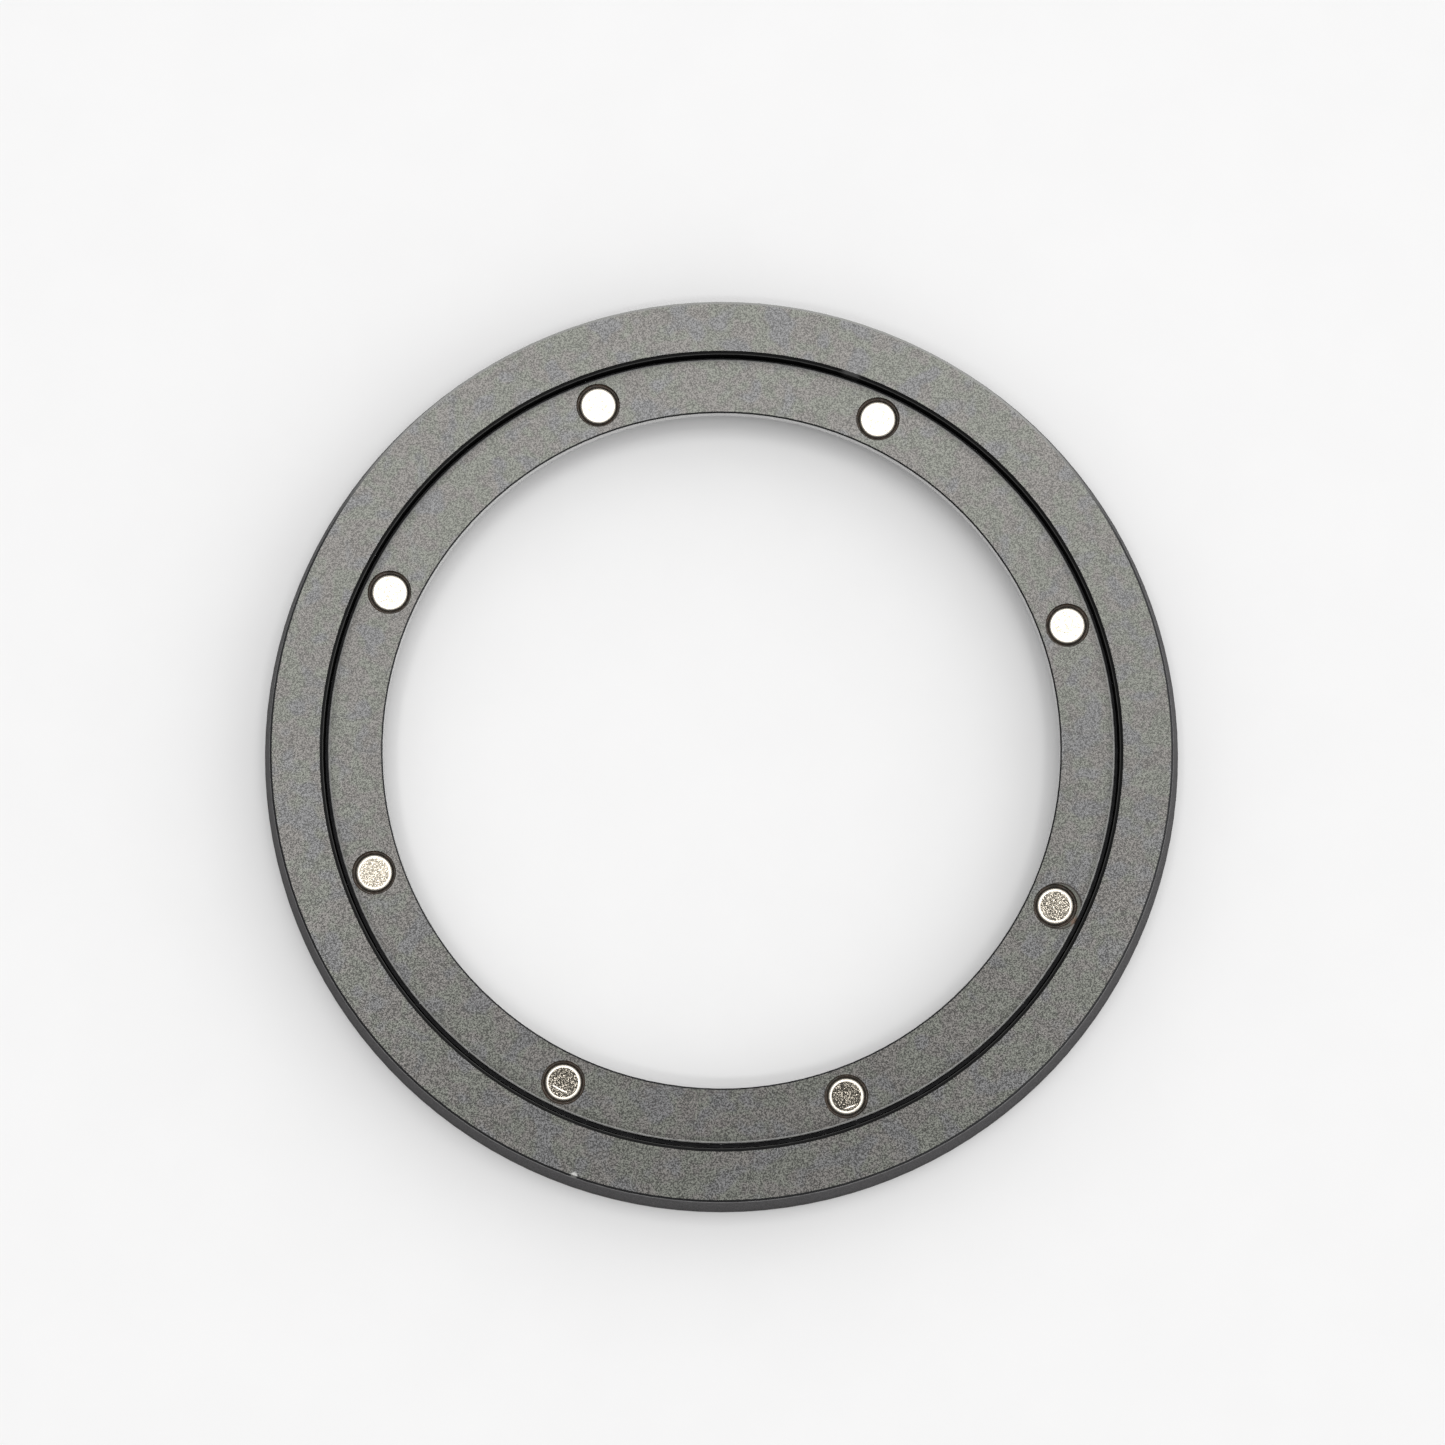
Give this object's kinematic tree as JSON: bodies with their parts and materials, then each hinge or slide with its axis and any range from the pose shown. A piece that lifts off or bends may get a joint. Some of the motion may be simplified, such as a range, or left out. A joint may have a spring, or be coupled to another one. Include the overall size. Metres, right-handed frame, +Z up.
{
  "type": "banding wheel",
  "caption": "Low two-ring banding wheel base: the inner ring turns on a ball race and holds a wheel head with inset magnets.",
  "frame": {"origin": "on the axis of rotation, at the lowest face, where the wheel stands on the bench", "axes": "+Z up along the axis of rotation; +X and +Y lie in the bench, and the magnets start 19.7 degrees from +X"},
  "size_m": [0.12, 0.12, 0.009],
  "materials": {
    "anodised_aluminium": "bead-blasted and dark-grey anodised, chamfers turned smooth",
    "retainer_aluminium": "turned and dark-grey anodised",
    "black_screw": "black oxide",
    "non_slip_rubber": "matte black rubber",
    "cage_nylon": "black moulded nylon",
    "nickel_plating": "worn bright nickel plating",
    "adhesive": "cured dark brown adhesive",
    "ball_steel": "polished steel"
  },
  "bodies": {
    "base": {"base_ring": "anodised_aluminium", "race_retainer": "retainer_aluminium", "retainer_screws": "black_screw", "non_slip_ring": "non_slip_rubber"},
    "turning_head": {"turning_ring": "anodised_aluminium", "magnet_1": "nickel_plating", "magnet_2": "nickel_plating", "magnet_3": "nickel_plating", "magnet_4": "nickel_plating", "magnet_5": "nickel_plating", "magnet_6": "nickel_plating", "magnet_7": "nickel_plating", "magnet_8": "nickel_plating", "magnet_adhesive_1": "adhesive", "magnet_adhesive_2": "adhesive", "magnet_adhesive_3": "adhesive", "magnet_adhesive_4": "adhesive", "magnet_adhesive_5": "adhesive", "magnet_adhesive_6": "adhesive", "magnet_adhesive_7": "adhesive", "magnet_adhesive_8": "adhesive"},
    "ball_train": {"ball_cage": "cage_nylon", "bearing_ball_01": "ball_steel", "bearing_ball_02": "ball_steel", "bearing_ball_03": "ball_steel", "bearing_ball_04": "ball_steel", "bearing_ball_05": "ball_steel", "bearing_ball_06": "ball_steel", "bearing_ball_07": "ball_steel", "bearing_ball_08": "ball_steel", "bearing_ball_09": "ball_steel", "bearing_ball_10": "ball_steel", "bearing_ball_11": "ball_steel", "bearing_ball_12": "ball_steel", "bearing_ball_13": "ball_steel", "bearing_ball_14": "ball_steel", "bearing_ball_15": "ball_steel", "bearing_ball_16": "ball_steel", "bearing_ball_17": "ball_steel", "bearing_ball_18": "ball_steel", "bearing_ball_19": "ball_steel", "bearing_ball_20": "ball_steel", "bearing_ball_21": "ball_steel", "bearing_ball_22": "ball_steel", "bearing_ball_23": "ball_steel", "bearing_ball_24": "ball_steel", "bearing_ball_25": "ball_steel", "bearing_ball_26": "ball_steel", "bearing_ball_27": "ball_steel", "bearing_ball_28": "ball_steel", "bearing_ball_29": "ball_steel", "bearing_ball_30": "ball_steel", "bearing_ball_31": "ball_steel", "bearing_ball_32": "ball_steel", "bearing_ball_33": "ball_steel", "bearing_ball_34": "ball_steel", "bearing_ball_35": "ball_steel", "bearing_ball_36": "ball_steel"}
  },
  "joints": [
    {"name": "ring_spin", "type": "hinge", "parent": "base", "child": "turning_head", "pos_m": [0, 0, 0.00384], "axis": [0, 0, 1], "continuous": true},
    {"name": "ball_train_spin", "type": "hinge", "parent": "base", "child": "ball_train", "pos_m": [0, 0, 0.00384], "axis": [0, 0, 1], "continuous": true}
  ],
  "couplings": [
    {"joint": "ball_train_spin", "follows": "ring_spin", "ratio": 0.4897}
  ]
}
